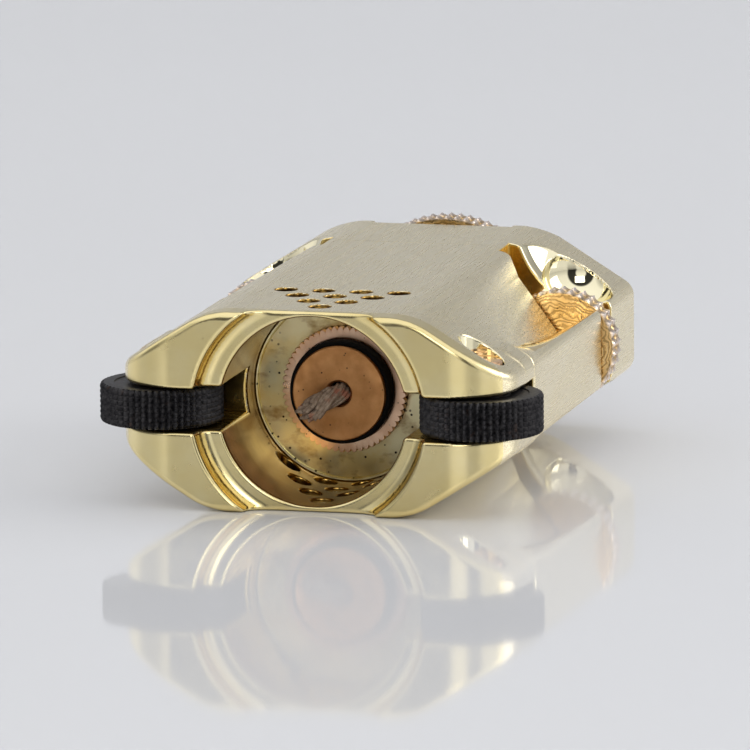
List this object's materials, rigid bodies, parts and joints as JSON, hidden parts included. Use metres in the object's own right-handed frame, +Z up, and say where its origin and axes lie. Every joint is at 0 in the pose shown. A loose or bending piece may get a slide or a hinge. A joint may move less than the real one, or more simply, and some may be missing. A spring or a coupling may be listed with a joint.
{
  "type": "lighter",
  "caption": "Pocket petrol lighter machined from a brass bar, with knurled striking wheels beside a vented chimney, screw-fed flints, a pull-out wick plug and a screwed filler cap",
  "frame": {"origin": "under the middle of the lighter's bounding box, at the height of the lowest point of the filler cap's rim", "axes": "X across the lighter through both wheels, Y along it from the chimney to the filler cap, Z up through its thickness; it lies on a broad face"},
  "size_m": [0.0448, 0.06, 0.0212],
  "materials": {
    "brass": "satin machined brass, hand rounded",
    "pale_brass": "turned pale brass",
    "copper": "satin copper, turned and knurled",
    "steel": "plain steel",
    "black_steel": "hardened black steel, knurled",
    "rubber": "black rubber",
    "cotton": "loose cotton",
    "felt": "pressed felt",
    "wick": "braided cotton, burnt at the end",
    "flint": "rough ferrocerium"
  },
  "bodies": {
    "block": {"body": "brass", "burner_plate": "pale_brass", "packing": "cotton", "felt_pad": "felt", "left_axle": "copper", "right_axle": "copper", "left_bore_screw": "steel", "right_bore_screw": "steel", "left_flint_spring": "steel", "right_flint_spring": "steel"},
    "left_wheel": {"left_wheel": "black_steel"},
    "right_wheel": {"right_wheel": "black_steel"},
    "left_flint": {"left_flint": "flint"},
    "right_flint": {"right_flint": "flint"},
    "left_pusher": {"left_pusher": "steel"},
    "right_pusher": {"right_pusher": "steel"},
    "left_feed_nut": {"left_feed_nut": "copper"},
    "right_feed_nut": {"right_feed_nut": "copper"},
    "burner_seal": {"burner_seal": "rubber"},
    "wick_ring": {"wick_ring": "copper"},
    "wick_plug": {"wick_plug": "copper", "plug_seal": "rubber", "wick": "wick"},
    "cap_seal": {"cap_seal": "rubber"},
    "filler_cap": {"filler_cap": "copper"}
  },
  "joints": [
    {"name": "left_wheel_spin", "type": "hinge", "parent": "block", "child": "left_wheel", "pos_m": [-0.0163, -0.02382, 0.0106], "axis": [0, 0, 1], "continuous": true},
    {"name": "left_flint_slide", "type": "slide", "parent": "block", "child": "left_flint", "axis": [0, 1, 0], "range_m": [0, 0.001], "stiffness_N_per_m": 400, "springref_m": -0.001, "deforming": ["left_flint_spring"]},
    {"name": "left_nut_turn", "type": "hinge", "parent": "block", "child": "left_feed_nut", "pos_m": [-0.0154, 0.01238, 0.0106], "axis": [0, 1, 0], "range_deg": [0, 1440]},
    {"name": "left_pusher_slide", "type": "slide", "parent": "block", "child": "left_pusher", "axis": [0, -1, 0], "range_m": [0, 0.003], "deforming": ["left_flint_spring"]},
    {"name": "right_wheel_spin", "type": "hinge", "parent": "block", "child": "right_wheel", "pos_m": [0.0163, -0.02382, 0.0106], "axis": [0, 0, 1], "continuous": true},
    {"name": "right_flint_slide", "type": "slide", "parent": "block", "child": "right_flint", "axis": [0, 1, 0], "range_m": [0, 0.001], "stiffness_N_per_m": 400, "springref_m": -0.001, "deforming": ["right_flint_spring"]},
    {"name": "right_nut_turn", "type": "hinge", "parent": "block", "child": "right_feed_nut", "pos_m": [0.0154, 0.01238, 0.0106], "axis": [0, 1, 0], "range_deg": [0, 1440]},
    {"name": "right_pusher_slide", "type": "slide", "parent": "block", "child": "right_pusher", "axis": [0, -1, 0], "range_m": [0, 0.003], "deforming": ["right_flint_spring"]},
    {"name": "ring_turn", "type": "hinge", "parent": "burner_seal", "child": "wick_ring", "pos_m": [0, -0.01493, 0.0106], "axis": [0, -1, 0], "range_deg": [0, 1440]},
    {"name": "ring_slide", "type": "slide", "parent": "block", "child": "burner_seal", "axis": [0, -1, 0], "range_m": [0, 0.004]},
    {"name": "plug_slide", "type": "slide", "parent": "wick_ring", "child": "wick_plug", "axis": [0, -1, 0], "range_m": [0, 0.008]},
    {"name": "cap_turn", "type": "hinge", "parent": "cap_seal", "child": "filler_cap", "pos_m": [0, 0.02678, 0.0106], "axis": [0, 1, 0], "range_deg": [0, 2160]},
    {"name": "cap_slide", "type": "slide", "parent": "block", "child": "cap_seal", "axis": [0, 1, 0], "range_m": [0, 0.006]}
  ],
  "couplings": [
    {"joint": "left_nut_turn", "follows": "left_pusher_slide", "rad_per_m": 8377.6},
    {"joint": "right_nut_turn", "follows": "right_pusher_slide", "rad_per_m": 8377.6},
    {"joint": "ring_turn", "follows": "ring_slide", "rad_per_m": 6283.2},
    {"joint": "cap_turn", "follows": "cap_slide", "rad_per_m": 6283.2}
  ]
}
